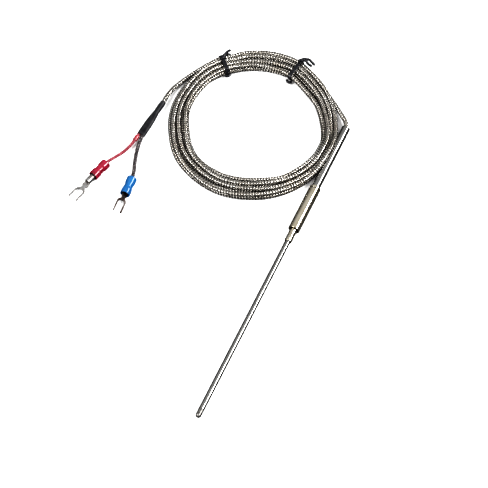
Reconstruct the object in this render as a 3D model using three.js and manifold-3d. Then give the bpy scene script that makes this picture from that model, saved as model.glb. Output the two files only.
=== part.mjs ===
// A metal-sheathed thermocouple with a braided lead.
//
// Millimetres, +Z up. The rigid probe lies on the surface along Y, its closed tip at -Y and its lead at +Y,
// with the origin under the middle of its length. The lead lies in a flat oval coil at the probe's left.
import * as THREE from 'three';
import { mergeVertices } from 'three/addons/utils/BufferGeometryUtils.js';
import Module from 'manifold-3d';

const wasm = await Module();
wasm.setup();

// ---------------------------------------------------------------- driving dimensions
const PROBE_LENGTH = 194; // closed tip to the rear tube's mouth
const ROUND = 24; // sides of a large round piece
const FINE = 12; // sides of a thin one
const CLEARANCE = 0.1; // round a piece that sits inside another
const SEAM = 0.3; // between two pieces that meet end to end
const CHAMFER = 0.1; // on the rim of a large tube
const FINE_CHAMFER = 0.05; // on the rim of a thin one

// Radii of the probe, and its stations along the axis, measured from the tip.
const SHEATH_R = 1.5;
const SHEATH_BORE_R = 1.1;
const CAP_LENGTH = 4.7;
const CAP_WALL = 1.5;
const NECK_R = 2;
const NECK_START = 112;
const NECK_END = 124;
const SHEATH_END = 119.5;
const SLEEVE_R = 3.15;
const SLEEVE_BORE_R = 2.5;
const SLEEVE_START = 120;
const SLEEVE_END = 148;
const BUSH_INSET = 0.5;
const COLLAR_LENGTH = 1.4;
const REAR_TUBE_R = 2.38;
const REAR_TUBE_BORE_R = 2.05;
const REAR_TUBE_START = 142.5;

// The two wires run side by side from the junction to the lead.
const WIRE_R = 0.2;
const WIRE_OFFSET = 0.6;
const JUNCTION_AT = 3.6;
const JUNCTION_R = 0.75;
const MINERAL_R = SHEATH_BORE_R - CLEARANCE;
const MINERAL_END = 117;
const SPLICE_R = 0.6;
const SPLICE_BORE_R = 0.38;
const SPLICE_LENGTH = 6;
const POSITIVE_SPLICE_AT = 126;
const NEGATIVE_SPLICE_AT = 133;
const CONDUCTOR_R = 0.28;
const INSULATION_R = 0.5;
const CORE_WIRES_END = 185;
const CLAMP_RING_END = 189;
const LEAD_START = 186;

// Lead, coil and ties.
const LEAD_R = 1.35;
const COIL_CENTRE = [-49.3, 79.6];
const COIL_INNER_R = 36.6;
const COIL_OUTER_R = 46.6;
const COIL_OVAL = 1.095; // length along Y over width along X
const COIL_BOTTOM = 0.9;
const COIL_TOP = 6.6;
const COIL_EDGE_R = 2;
const TIE_THICKNESS = 0.6;
const TIE_WIDTH = 1.8;
const TIE_WIRE_R = 0.7;
const TIE_TWIST_LENGTH = 2.2;
const TIE_TAIL_LENGTH = 5;
const TIE_ANGLES = [137, 81.5]; // degrees round the coil from +X

// Lead's end: a shrunk boot, two single cores and their terminals.
const BOOT_REAR = [-101.2, 71.7, 2.45];
const BOOT_FRONT = [-102.5, 46, 2.45];
const BOOT_REAR_R = 1.8;
const BOOT_FRONT_R = 2.4;
const BOOT_BORE_R = 1.5;
const BOOT_FRONT_BORE_R = 2.1;
const BOOT_FLARE_START = 7.5; // from its rear end
const BOOT_FLARE_END = 13.8;
const RED_COLLAR_WALL = 0.2;
const RED_CORE_R = 0.9;
const BLACK_CORE_R = 1.05;
const TERMINAL_AXIS_Z = 2.75;
const TERMINAL_SLEEVE_LENGTH = 11;
const TERMINAL_SLEEVE_R = 2.75;
const TERMINAL_WAIST_R = 2.35;
const TERMINAL_MOUTH_R = 2.4; // the sleeve's wider bore at its front
const BARREL_LENGTH = 6;
const BARREL_R = 1.7;
const BARREL_BORE_R = 0.9;
const FORK_THICKNESS = BARREL_R - BARREL_BORE_R;
const FORK_NECK_HALF = 1.1;
const TERMINAL_LENGTH = 18.5;
const CORE_END_R = 0.6;
const CORE_END_SHORT = 1; // how far it stops short of the barrel's front

// Routes of the stretches that are not coiled, and the red collar's two ends.
const LEAD_FROM_PROBE = [
  [0, LEAD_START - PROBE_LENGTH / 2, 3.15],
  [0, 92, 3.15],
  [0.22, 94, 3.15],
  [0.1, 96.1, 3.15],
  [-0.5, 98.4, 3.05],
  [-1.9, 101, 2.85],
  [-4.2, 103.8, 2.55],
  [-8.4, 108, 2.15],
];
const LEAD_TO_TERMINALS = [
  [-94.9, 97.7, 2.1],
  [-96.9, 94, 1.75],
  [-99.1, 89, 1.5],
  [-100.5, 84.2, 1.6],
  [-101.1, 80, 1.9],
  [-101.35, 76, 2.25],
  [-101.25, 73.5, 2.45],
  [-101.2, 71.2, 2.45],
  [-101.33, 68.6, 2.45],
  [-101.46, 66, 2.45],
];
const RED_CORE = [
  [-103, 58, 2.45],
  [-103.3, 52, 2.45],
  [-103.6, 46.5, 2.45],
  [-103.87, 43.8, 2.45],
  [-104.1, 41, 2.4],
  [-104.6, 38, 2.15],
  [-106.1, 33, 1.7],
  [-108.75, 27, 2.1],
  [-110.9, 22, 2.7],
  [-111.9, 18, 2.75],
  [-113.04, 13.12, 2.75],
];
const BLACK_CORE = [
  [-100.95, 58, 2.45],
  [-101.25, 52, 2.45],
  [-101.55, 46.5, 2.45],
  [-101.1, 42, 2.2],
  [-100.1, 36.5, 1.55],
  [-98, 29.6, 1.25],
  [-95.2, 22.8, 1.95],
  [-93.9, 18.6, 2.6],
  [-93.45, 16, 2.75],
  [-93.25, 14.4, 2.75],
];
const RED_COLLAR = [[-103.79, 44.6, 2.44], [-104.07, 41.4, 2.44]];

// ---------------------------------------------------------------- materials
function material(colour, roughness, metalness) {
  return new THREE.MeshStandardMaterial({ color: colour, roughness, metalness });
}

const STEEL = material(0xc4c2bd, 0.22, 1);
const NICKEL = material(0xcbc8bb, 0.25, 1);
const BRAID = material(0x8f8a84, 0.45, 1);
const COPPER = material(0xb8734a, 0.35, 1);
const NICKEL_CHROME = material(0x9a9a98, 0.4, 1);
const NICKEL_ALUMINIUM = material(0x8c8f90, 0.45, 1);
const OXIDE = material(0xe6e2d8, 0.9, 0);
const EPOXY = material(0x2c2a28, 0.6, 0);
const BLACK_SHRINK = material(0x17171a, 0.5, 0);
const RED_GLASS_BRAID = material(0xc04a55, 0.8, 0);
const BLACK_GLASS_BRAID = material(0x353336, 0.8, 0);
const RED_PLASTIC = material(0xc4182c, 0.25, 0);
const BLUE_PLASTIC = material(0x2a78c0, 0.25, 0);
const TINNED_COPPER = material(0xa9a9a8, 0.3, 1);
const TIE_PLASTIC = material(0x121214, 0.4, 0);

// ---------------------------------------------------------------- shape helpers
const part = new THREE.Group();

// The probe's axis: its local Y counts millimetres from the closed tip.
const probe = new THREE.Group();
probe.position.set(0, -PROBE_LENGTH / 2, SLEEVE_R);
part.add(probe);

function addMesh(group, name, geometry, look, x = 0) {
  const mesh = new THREE.Mesh(geometry, look);
  mesh.name = name;
  mesh.position.x = x;
  group.add(mesh);
  return mesh;
}

// A solid of revolution about Y from [radius, station] pairs that start and end on the axis.
function turned(profile, sides = ROUND) {
  return new THREE.LatheGeometry(profile.map(([r, y]) => new THREE.Vector2(r, y)), sides);
}

// A rod from one station to another.
function rod(radius, start, end, sides = ROUND) {
  return turned([[0, start], [radius, start], [radius, end], [0, end]], sides);
}

// A tube whose two rims have a small chamfer on the outside.
function tube(outer, bore, start, end, sides = ROUND, chamfer = CHAMFER) {
  return turned([
    [bore, start],
    [outer - chamfer, start],
    [outer, start + chamfer],
    [outer, end - chamfer],
    [outer - chamfer, end],
    [bore, end],
    [bore, start],
  ], sides);
}

// A round cord along a route of points.
function cord(points, radius, steps, sides = 8) {
  const section = new THREE.Shape();
  section.absarc(0, 0, radius, 0, 2 * Math.PI, false);
  const extrudePath = new THREE.CatmullRomCurve3(points.map((p) => new THREE.Vector3(...p)));
  return new THREE.ExtrudeGeometry(section, {
    steps,
    extrudePath,
    curveSegments: sides,
    bevelEnabled: false,
  });
}

// A closed geometry as a manifold solid: shared vertices merged and empty triangles dropped.
function solid(geometry) {
  const bare = geometry.clone();
  bare.deleteAttribute('normal');
  bare.deleteAttribute('uv');
  const merged = mergeVertices(bare, 1e-4);
  const index = merged.index.array;
  const triangles = [];
  for (let i = 0; i < index.length; i += 3) {
    const [a, b, c] = [index[i], index[i + 1], index[i + 2]];
    if (a !== b && b !== c && c !== a) {
      triangles.push(a, b, c);
    }
  }
  return new wasm.Manifold(new wasm.Mesh({
    numProp: 3,
    vertProperties: new Float32Array(merged.attributes.position.array),
    triVerts: new Uint32Array(triangles),
  }));
}

function geometryOf(manifold) {
  const mesh = manifold.getMesh();
  const geometry = new THREE.BufferGeometry();
  geometry.setAttribute('position', new THREE.BufferAttribute(mesh.vertProperties, 3));
  geometry.setIndex(new THREE.BufferAttribute(mesh.triVerts, 1));
  return geometry;
}

function joined(geometries) {
  return geometryOf(geometries.map(solid).reduce((whole, piece) => whole.add(piece)));
}

function cut(body, tools) {
  return geometryOf(tools.map(solid).reduce((whole, tool) => whole.subtract(tool), solid(body)));
}

// ---------------------------------------------------------------- probe
// The welded tip: a round nose with a short cup behind it.
function tipCap() {
  const nose = [];
  const noseSteps = 8;
  for (let i = 0; i <= noseSteps; i += 1) {
    const angle = (i / noseSteps) * (Math.PI / 2);
    nose.push([SHEATH_R * Math.sin(angle), SHEATH_R * (1 - Math.cos(angle))]);
  }
  return turned([...nose, [SHEATH_R, CAP_LENGTH], [SHEATH_BORE_R, CAP_LENGTH], [SHEATH_BORE_R, CAP_WALL],
    [0, CAP_WALL]]);
}

// The packed oxide, with a bore for each wire and a pocket for the junction.
function mineralCore() {
  const boreR = WIRE_R + CLEARANCE * 0.8;
  const tools = [-1, 1].map((side) => rod(boreR, JUNCTION_AT, MINERAL_END + 1, FINE)
    .translate(side * WIRE_OFFSET, 0, 0));
  const pocket = new THREE.SphereGeometry(JUNCTION_R + CLEARANCE, FINE, FINE / 2);
  pocket.translate(0, JUNCTION_AT, 0);
  return cut(rod(MINERAL_R, CAP_WALL + CLEARANCE, MINERAL_END), [...tools, pocket]);
}

function endSeal() {
  const start = MINERAL_END + CLEARANCE;
  const end = SHEATH_END - SEAM;
  const tools = [-1, 1].map((side) => rod(WIRE_R + CLEARANCE, start - 1, end + 1, FINE)
    .translate(side * WIRE_OFFSET, 0, 0));
  return cut(rod(MINERAL_R, start, end), tools);
}

// The reduced front of the sleeve that is crimped on the sheath, with a rounded shoulder.
function crimpNeck() {
  const bore = SHEATH_R + CLEARANCE;
  const shoulder = 0.4;
  return turned([
    [bore, NECK_START],
    [NECK_R - CHAMFER, NECK_START],
    [NECK_R, NECK_START + shoulder],
    [NECK_R, NECK_END],
    [bore, NECK_END],
    [bore, NECK_START],
  ]);
}

// Resin that fills the sleeve round the splices, with a nose in the neck.
function potting() {
  const noseR = SHEATH_R;
  const bodyR = SLEEVE_BORE_R - CLEARANCE;
  const body = turned([
    [0, SHEATH_END + SEAM],
    [noseR, SHEATH_END + SEAM],
    [noseR, NECK_END + SEAM],
    [bodyR, NECK_END + SEAM],
    [bodyR, REAR_TUBE_START - SEAM],
    [0, REAR_TUBE_START - SEAM],
  ]);
  const tools = [-1, 1].map((side) => rod(SPLICE_R + CLEARANCE * 0.8, SHEATH_END, REAR_TUBE_START, FINE)
    .translate(side * WIRE_OFFSET, 0, 0));
  return cut(body, tools);
}

// An insulated core whose stripped front end is held in a splice.
function coreWire(spliceAt) {
  const spliceEnd = spliceAt + SPLICE_LENGTH;
  const tip = spliceAt + SPLICE_LENGTH / 2 + SEAM / 2;
  return turned([
    [0, tip],
    [CONDUCTOR_R, tip],
    [CONDUCTOR_R, spliceEnd + SEAM],
    [INSULATION_R, spliceEnd + SEAM],
    [INSULATION_R, CORE_WIRES_END],
    [0, CORE_WIRES_END],
  ], FINE);
}

// The rolled rim behind the sleeve, its two edges rounded in two steps.
function rearCollar() {
  const bore = REAR_TUBE_R + CLEARANCE;
  const start = SLEEVE_END + SEAM;
  const end = start + COLLAR_LENGTH;
  const rim = 0.2;
  const slope = rim * 0.3;
  return turned([
    [bore, start],
    [SLEEVE_R - rim, start],
    [SLEEVE_R - slope, start + slope],
    [SLEEVE_R, start + rim],
    [SLEEVE_R, end - rim],
    [SLEEVE_R - slope, end - slope],
    [SLEEVE_R - rim, end],
    [bore, end],
    [bore, start],
  ]);
}

function buildProbe() {
  addMesh(probe, 'tip_cap', tipCap(), STEEL);
  const sheath = tube(SHEATH_R, SHEATH_BORE_R, CAP_LENGTH + CLEARANCE, SHEATH_END, ROUND, FINE_CHAMFER);
  addMesh(probe, 'sheath_tube', sheath, STEEL);
  addMesh(probe, 'mineral_core', mineralCore(), OXIDE);
  const junction = new THREE.SphereGeometry(JUNCTION_R, FINE, FINE / 2);
  addMesh(probe, 'measuring_junction', junction.translate(0, JUNCTION_AT, 0), NICKEL_CHROME);
  addMesh(probe, 'end_seal', endSeal(), EPOXY);
  addMesh(probe, 'crimp_neck', crimpNeck(), NICKEL);
  const bush = tube(SLEEVE_BORE_R - CLEARANCE, NECK_R + CLEARANCE, SLEEVE_START + BUSH_INSET, NECK_END);
  addMesh(probe, 'front_bush', bush, COPPER);
  addMesh(probe, 'transition_sleeve', tube(SLEEVE_R, SLEEVE_BORE_R, SLEEVE_START, SLEEVE_END), NICKEL);
  addMesh(probe, 'potting', potting(), EPOXY);
  addMesh(probe, 'rear_collar', rearCollar(), NICKEL);
  addMesh(probe, 'rear_tube', tube(REAR_TUBE_R, REAR_TUBE_BORE_R, REAR_TUBE_START, PROBE_LENGTH), STEEL);
  const clampR = REAR_TUBE_BORE_R - CLEARANCE * 0.8;
  const clamp = tube(clampR, LEAD_R + CLEARANCE, CORE_WIRES_END + SEAM, CLAMP_RING_END, ROUND, FINE_CHAMFER);
  addMesh(probe, 'braid_clamp_ring', clamp, COPPER);

  const circuits = [
    {
      sign: 'positive',
      side: 1,
      spliceAt: POSITIVE_SPLICE_AT,
      alloy: NICKEL_CHROME,
      glass: RED_GLASS_BRAID,
    },
    {
      sign: 'negative',
      side: -1,
      spliceAt: NEGATIVE_SPLICE_AT,
      alloy: NICKEL_ALUMINIUM,
      glass: BLACK_GLASS_BRAID,
    },
  ];
  const wireStart = JUNCTION_AT + JUNCTION_R;
  for (const { sign, side, spliceAt, alloy, glass } of circuits) {
    const wireEnd = spliceAt + SPLICE_LENGTH / 2 - SEAM / 2;
    const x = side * WIRE_OFFSET;
    addMesh(probe, `thermoelement_${sign}`, rod(WIRE_R, wireStart, wireEnd, FINE), alloy, x);
    const splice = tube(SPLICE_R, SPLICE_BORE_R, spliceAt, spliceAt + SPLICE_LENGTH, FINE, FINE_CHAMFER);
    addMesh(probe, `splice_${sign}`, splice, COPPER, x);
    addMesh(probe, `core_wire_${sign}`, coreWire(spliceAt), glass, x);
  }
}

// ---------------------------------------------------------------- lead and coil
// The coil's outer shape: a ring of rounded section, a little longer along Y.
function coil() {
  const e = COIL_EDGE_R;
  const corners = [
    [COIL_OUTER_R - e, COIL_BOTTOM + e, -90],
    [COIL_OUTER_R - e, COIL_TOP - e, 0],
    [COIL_INNER_R + e, COIL_TOP - e, 90],
    [COIL_INNER_R + e, COIL_BOTTOM + e, 180],
  ];
  const profile = [];
  for (const [r, z, from] of corners) {
    for (const turn of [0, 30, 60, 90]) {
      const angle = THREE.MathUtils.degToRad(from + turn);
      profile.push([r + e * Math.cos(angle), z + e * Math.sin(angle)]);
    }
  }
  profile.push(profile[0]);
  return turned(profile, 60);
}

// Distance from the coil's centre to an oval of this half width, in a given direction.
function ovalRadius(halfWidth, angle) {
  return halfWidth / Math.hypot(Math.cos(angle), Math.sin(angle) / COIL_OVAL);
}

// A twist tie: a flat band round the bundle, its twist outside the coil, and two cut ends.
function tie(angle) {
  const inner = ovalRadius(COIL_INNER_R, angle) - SEAM;
  const outer = ovalRadius(COIL_OUTER_R, angle) + SEAM;
  const low = COIL_BOTTOM - SEAM;
  const high = COIL_TOP + SEAM;
  const cornerCut = 1.2;
  const outline = (grow, Kind) => {
    const [left, right, bottom, top] = [inner - grow, outer + grow, low - grow, high + grow];
    const loop = new Kind();
    loop.moveTo(left + cornerCut, bottom);
    loop.lineTo(right - cornerCut, bottom);
    loop.lineTo(right, bottom + cornerCut);
    loop.lineTo(right, top - cornerCut);
    loop.lineTo(right - cornerCut, top);
    loop.lineTo(left + cornerCut, top);
    loop.lineTo(left, top - cornerCut);
    loop.lineTo(left, bottom + cornerCut);
    loop.closePath();
    return loop;
  };
  const shape = outline(TIE_THICKNESS, THREE.Shape);
  shape.holes.push(outline(0, THREE.Path));
  const band = new THREE.ExtrudeGeometry(shape, { depth: TIE_WIDTH, bevelEnabled: false });
  band.translate(0, 0, -TIE_WIDTH / 2);

  // In the band's plane X is outwards and Y is up; Z runs along the lead.
  const twistTop = high - cornerCut;
  const twist = cord([
    [outer + TIE_THICKNESS / 2, twistTop - 0.8, 0],
    [outer + TIE_TWIST_LENGTH / 2, twistTop - 0.4, 0],
    [outer + TIE_TWIST_LENGTH, twistTop, 0],
  ], TIE_WIRE_R, 4);
  const tails = [1, -1].map((side) => cord([
    [outer + 1.6, twistTop - 0.3, 0],
    [outer + 3.2, twistTop + side * 0.4, 2],
    [outer + TIE_TAIL_LENGTH + side * 0.8, twistTop + side * 1.1, TIE_TAIL_LENGTH + side],
  ], TIE_WIRE_R * 0.8, 5));
  const geometry = joined([band, twist, ...tails]);
  geometry.rotateX(Math.PI / 2);
  geometry.rotateZ(angle);
  return geometry;
}

function buildLead() {
  addMesh(part, 'lead_probe_end', cord(LEAD_FROM_PROBE, LEAD_R, 14), BRAID);
  const ring = coil();
  ring.rotateX(Math.PI / 2);
  ring.scale(1, COIL_OVAL, 1);
  const coilGroup = new THREE.Group();
  coilGroup.position.set(...COIL_CENTRE, 0);
  part.add(coilGroup);
  addMesh(coilGroup, 'lead_coil', ring, BRAID);
  TIE_ANGLES.forEach((degrees, i) => {
    const angle = THREE.MathUtils.degToRad(degrees);
    addMesh(coilGroup, `twist_tie_${i + 1}`, tie(angle), TIE_PLASTIC);
  });
  addMesh(part, 'lead_terminal_end', cord(LEAD_TO_TERMINALS, LEAD_R, 10), BRAID);
}

// ---------------------------------------------------------------- lead's end
// A group whose local Y runs from one point towards another.
function along(from, to) {
  const group = new THREE.Group();
  const start = new THREE.Vector3(...from);
  const direction = new THREE.Vector3(...to).sub(start);
  group.position.copy(start);
  group.rotation.z = Math.atan2(-direction.x, direction.y);
  part.add(group);
  return group;
}

// The shrunk boot: slim round the lead, wider where the two cores leave it.
function boot(length) {
  const flareInset = 1; // the bore widens over a shorter stretch than the outside
  return turned([
    [BOOT_BORE_R, 0],
    [BOOT_REAR_R, 0],
    [BOOT_REAR_R, BOOT_FLARE_START],
    [BOOT_FRONT_R, BOOT_FLARE_END],
    [BOOT_FRONT_R, length],
    [BOOT_FRONT_BORE_R, length],
    [BOOT_FRONT_BORE_R, BOOT_FLARE_END - flareInset],
    [BOOT_BORE_R, BOOT_FLARE_START + flareInset],
    [BOOT_BORE_R, 0],
  ]);
}

// A terminal's plastic sleeve: flared at both ends and pressed in at the waist.
function terminalSleeve() {
  const length = TERMINAL_SLEEVE_LENGTH;
  const bore = BARREL_R + CLEARANCE;
  const edge = 0.3;
  const middle = length / 2;
  const waistHalf = 0.8;
  const pressedHalf = 2;
  return turned([
    [bore, 0],
    [TERMINAL_SLEEVE_R - edge, 0],
    [TERMINAL_SLEEVE_R, edge],
    [TERMINAL_SLEEVE_R, middle - pressedHalf],
    [TERMINAL_WAIST_R, middle - waistHalf],
    [TERMINAL_WAIST_R, middle + waistHalf],
    [TERMINAL_SLEEVE_R, middle + pressedHalf],
    [TERMINAL_SLEEVE_R, length - edge / 2],
    [TERMINAL_SLEEVE_R - edge / 2, length],
    [TERMINAL_MOUTH_R, length],
    [TERMINAL_MOUTH_R, middle + pressedHalf + CHAMFER],
    [bore, middle + waistHalf + CHAMFER],
    [bore, 0],
  ]);
}

// A fork terminal stamped from one strip: a rolled barrel, a flat shoulder and a fork.
// Its local Y starts at the barrel's rear end.
function forkTerminal(forkWidth, prongWidth, shoulderR) {
  const barrel = tube(BARREL_R, BARREL_BORE_R, 0, BARREL_LENGTH);
  const outerR = forkWidth / 2;
  const innerR = outerR - prongWidth;
  const plateStart = BARREL_LENGTH - 1.5;
  const shoulderAt = BARREL_LENGTH + 1.6;
  const neckLength = 0.4;
  const crotch = 1.4; // metal between the neck and the slot
  const forkBase = shoulderAt + shoulderR + neckLength;
  const forkCentre = forkBase + outerR;
  const slotCentre = forkBase + crotch + innerR;
  const shoulderAngle = Math.acos(FORK_NECK_HALF / shoulderR);
  const forkAngle = Math.acos(FORK_NECK_HALF / outerR);
  const plate = new THREE.Shape();
  plate.moveTo(-FORK_NECK_HALF, plateStart);
  plate.absarc(0, shoulderAt, shoulderR, Math.PI + shoulderAngle, Math.PI - shoulderAngle, true);
  plate.absarc(0, forkCentre, outerR, Math.PI + forkAngle, Math.PI, true);
  plate.lineTo(-outerR, TERMINAL_LENGTH);
  plate.lineTo(-innerR, TERMINAL_LENGTH);
  plate.absarc(0, slotCentre, innerR, Math.PI, 2 * Math.PI, false);
  plate.lineTo(innerR, TERMINAL_LENGTH);
  plate.lineTo(outerR, TERMINAL_LENGTH);
  plate.absarc(0, forkCentre, outerR, 0, -forkAngle, true);
  plate.absarc(0, shoulderAt, shoulderR, shoulderAngle, -shoulderAngle, true);
  plate.lineTo(FORK_NECK_HALF, plateStart);
  plate.closePath();
  const fork = new THREE.ExtrudeGeometry(plate, {
    depth: FORK_THICKNESS,
    curveSegments: 10,
    bevelEnabled: false,
  });
  fork.translate(0, 0, -BARREL_R);
  return joined([barrel, fork]);
}

// One core's end: its route, its stripped tip, its terminal and the terminal's sleeve.
function buildCore(core) {
  const { colour, sleeveColour, route, radius, look, plastic } = core;
  const { rear, heading, roll, barrelAt, stripAt, forkWidth, prongWidth, shoulderR } = core;
  addMesh(part, `${colour}_core`, cord(route, radius, 22), look);
  const group = new THREE.Group();
  group.position.set(rear[0], rear[1], TERMINAL_AXIS_Z);
  group.rotation.set(0, THREE.MathUtils.degToRad(roll), THREE.MathUtils.degToRad(heading), 'ZYX');
  part.add(group);
  addMesh(group, `${sleeveColour}_terminal_sleeve`, terminalSleeve(), plastic);
  const forkShape = forkTerminal(forkWidth, prongWidth, shoulderR);
  const fork = addMesh(group, `${sleeveColour}_fork_terminal`, forkShape, TINNED_COPPER);
  fork.position.y = barrelAt;
  const stripped = rod(CORE_END_R, stripAt, barrelAt + BARREL_LENGTH - CORE_END_SHORT, FINE);
  addMesh(group, `${colour}_core_end`, stripped, COPPER);
}

function buildLeadEnd() {
  const bootLength = Math.hypot(BOOT_FRONT[0] - BOOT_REAR[0], BOOT_FRONT[1] - BOOT_REAR[1]);
  addMesh(along(BOOT_REAR, BOOT_FRONT), 'heat_shrink_boot', boot(bootLength), BLACK_SHRINK);
  const collarBore = RED_CORE_R + CLEARANCE * 1.5;
  const collarLength = RED_COLLAR[0][1] - RED_COLLAR[1][1];
  const collar = tube(collarBore + RED_COLLAR_WALL, collarBore, 0, collarLength, ROUND, FINE_CHAMFER);
  addMesh(along(...RED_COLLAR), 'red_collar', collar, RED_GLASS_BRAID);
  buildCore({
    colour: 'red',
    sleeveColour: 'red',
    route: RED_CORE,
    radius: RED_CORE_R,
    look: RED_GLASS_BRAID,
    plastic: RED_PLASTIC,
    rear: [-111.2, 20.9],
    heading: 166.7,
    roll: 0,
    barrelAt: 9.8,
    stripAt: 8.3,
    forkWidth: 6,
    prongWidth: 0.8,
    shoulderR: 1.8,
  });
  buildCore({
    colour: 'black',
    sleeveColour: 'blue',
    route: BLACK_CORE,
    radius: BLACK_CORE_R,
    look: BLACK_GLASS_BRAID,
    plastic: BLUE_PLASTIC,
    rear: [-93.6, 17.6],
    heading: 185.7,
    roll: -18,
    barrelAt: 3.6,
    stripAt: 3.5,
    forkWidth: 5.2,
    prongWidth: 1,
    shoulderR: 1.4,
  });
}

buildProbe();
buildLead();
buildLeadEnd();

export default part;
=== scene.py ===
"""Looks for a metal-sheathed thermocouple whose braided lead lies in a coil beside it.

Lengths in this script are millimetres, as in the part's CAD source, unless a name ends in _M for metres. A
mesh is scaled to metres as it is made. The probe lies along Y with its closed tip at -Y. The lead's coil is
found by letting its turns settle on the surface and on each other.
"""

import math

import bpy
import numpy as np
from mathutils import Matrix, Vector


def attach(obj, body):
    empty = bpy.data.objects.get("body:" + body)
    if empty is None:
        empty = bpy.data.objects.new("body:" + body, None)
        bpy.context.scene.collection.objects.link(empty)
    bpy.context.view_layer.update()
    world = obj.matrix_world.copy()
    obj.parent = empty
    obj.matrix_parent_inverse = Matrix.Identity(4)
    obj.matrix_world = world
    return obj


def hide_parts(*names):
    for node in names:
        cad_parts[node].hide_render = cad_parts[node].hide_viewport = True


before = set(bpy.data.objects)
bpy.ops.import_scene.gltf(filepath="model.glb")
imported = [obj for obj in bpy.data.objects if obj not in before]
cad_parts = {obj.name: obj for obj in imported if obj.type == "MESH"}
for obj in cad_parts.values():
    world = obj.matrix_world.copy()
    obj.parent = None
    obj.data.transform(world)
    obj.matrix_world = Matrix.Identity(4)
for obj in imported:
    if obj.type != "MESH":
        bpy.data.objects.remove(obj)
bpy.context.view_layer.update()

MM = 0.001

# The camera looks at one point of the surface. Its angles are in degrees.
CAMERA_TARGET = (-21.3, 5.9, 0)
CAMERA_AZIMUTH = 24.345
CAMERA_ELEVATION = 58
CAMERA_DISTANCE = 750
CAMERA_LENS = 104
CAMERA_SENSOR = 36
CAMERA_NEAR_M = 0.05
CAMERA_FAR_M = 20

# The probe, measured from its tip along its axis.
PROBE_LENGTH = 194
PROBE_AXIS_Z = 3.15
SHEATH_R = 1.5
SHEATH_BORE_R = 1.1
CAP_LENGTH = 4.7
CAP_WALL = 1.5
CAP_BEAD = 0.03
SHEATH_START = 4.8
SHEATH_END = 119.5
NECK_R = 2
NECK_START = 112
NECK_END = 124
CRIMP_GROOVES = (2.4, 3.6, 4.8)
CRIMP_HALF_WIDTH = 0.35
CRIMP_DEPTH = 0.09
SLEEVE_R = 3.15
SLEEVE_BORE_R = 2.5
SLEEVE_START = 120
SLEEVE_END = 148
COLLAR_START = 148.3
COLLAR_END = 149.7
REAR_TUBE_R = 2.38
REAR_TUBE_BORE_R = 2.05
REAR_TUBE_START = 142.5
CLEARANCE = 0.1  # between a piece and the ring round it
POINT_R = 0.002  # stands for a radius of nothing where an outline meets the axis

# The lead and its braid, whose surface rises and dips by its relief about a middle radius. The braid's mesh
# has some rows to each pitch and some sides to each strand.
LEAD_R = 1.35
BRAID_MID_R = LEAD_R - 0.08
BRAID_RELIEF = 0.18
BRAID_PITCH = 1.55
BRAID_ROWS = 4
BRAID_SIDES = 18
BRAID_SIDES_PER_STRAND = 3

# The cores' braid, about a middle radius that is a little less than the core's own.
CORE_SUNK = 0.03
CORE_RELIEF = 0.05
CORE_SIDES = 24
CORE_SPACING = 0.2
CORE_MESH_PER_STRAND = 4

# The coil. Angles are in degrees round it from +X. The lead comes in at the entry, makes the full turns,
# lifts off where it leaves and is clear of the ring at the exit.
COIL_CENTRE = (-48.2, 79.1)
COIL_ENTRY = 55
COIL_ENTRY_HELD = 14  # degrees after the entry in which the lead is held at the ring's outer edge
COIL_LEAVES = 124
COIL_EXIT = 154
COIL_FULL_TURNS = 7
COIL_STEP = 3
# How far in and out the turns may lie: bearing, inner radius, outer radius.
COIL_EDGES = [
    (0, 39.0, 48.3),
    (30, 35.7, 46.7),
    (60, 34.6, 48.7),
    (90, 37.4, 52.4),
    (120, 38.3, 51.2),
    (150, 39.2, 48.5),
    (180, 37.2, 49.0),
    (210, 35.0, 49.5),
    (240, 36.9, 52.0),
    (270, 36.6, 54.3),
    (300, 35.6, 53.4),
    (330, 37.8, 51.5),
]
# The second layer of turns: the share of the coil before it, the share that climbs, and how high it is wound.
LAYER_FROM = 0.46
LAYER_CLIMB = 0.1
LAYER_STEP = 2.4

# The stretch that leaves the ring: its radius where it lifts off and how that grows to the ring's exit.
FREE_R = 48.4
FREE_GROWTH = 0.6
FREE_SWING = 0.8
FREE_LIMIT_R = 60

# How the coil settles. Each step lets the turns sink and pulls them to the place where they were wound.
SETTLE_STEPS = 1500
SETTLE_SLOW_FROM = 0.9
SINK = 0.02
SINK_SLOW = 0.004
STIFFNESS = 0.45
STIFFNESS_SLOW = 0.12
HOLD_WOUND = 0.02
HOLD_ENTRY = 0.3
HOLD_FREE = 0.5
TURN_SPACING = 2 * LEAD_R + 0.03
PROBE_GAP = 0.05
PROBE_GUARD = 2  # how far beyond the rear tube's mouth the turns are kept off its line
NOTHING = 1e-6  # keeps a division by a distance safe

# The ties, in a tie's own plane: X outwards from the coil's centre, Y along the lead, Z up.
TIE_ANGLES = (137, 81.5)
TIE_THICKNESS = 0.6
TIE_WIDTH = 2.1
TIE_WIRE_R = 0.78
TIE_GAP = 0.08
TIE_REACH = 5  # degrees to each side over which the turns rise to the tie under them
TWIST_TURNS = 1.5
# Where a tie doubles back inside the ring. X is measured from the bundle's inner edge.
TIE_FOLD = [(0.4, -1.7, 1.7), (-0.5, -0.6, 1.4), (-0.5, 0.6, 1.4), (0.4, 1.7, 1.7)]
# A twist runs from the first point to the second, and the tails go on from there.
TWISTS = [
    [(46.2, 0, 7.0), (48.6, -2.2, 7.4)],
    [(48.4, 0.2, 7.4), (51, -2.4, 8.4)],
]
TAILS = [
    [
        [(49.8, -3.6, 7.2), (51.2, -5.4, 6.2), (52.4, -7.2, 5.0)],
        [(49.4, -3.2, 6.4), (49.8, -4.6, 5.4), (49.6, -6.2, 4.4)],
    ],
    [
        [(51.8, -4, 8.3), (51.7, -6, 7.5), (51.4, -8.4, 6.4)],
        [(50, -3.8, 7.6), (49.8, -5.4, 6.8), (50.1, -7.2, 6.2)],
    ],
]

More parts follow.
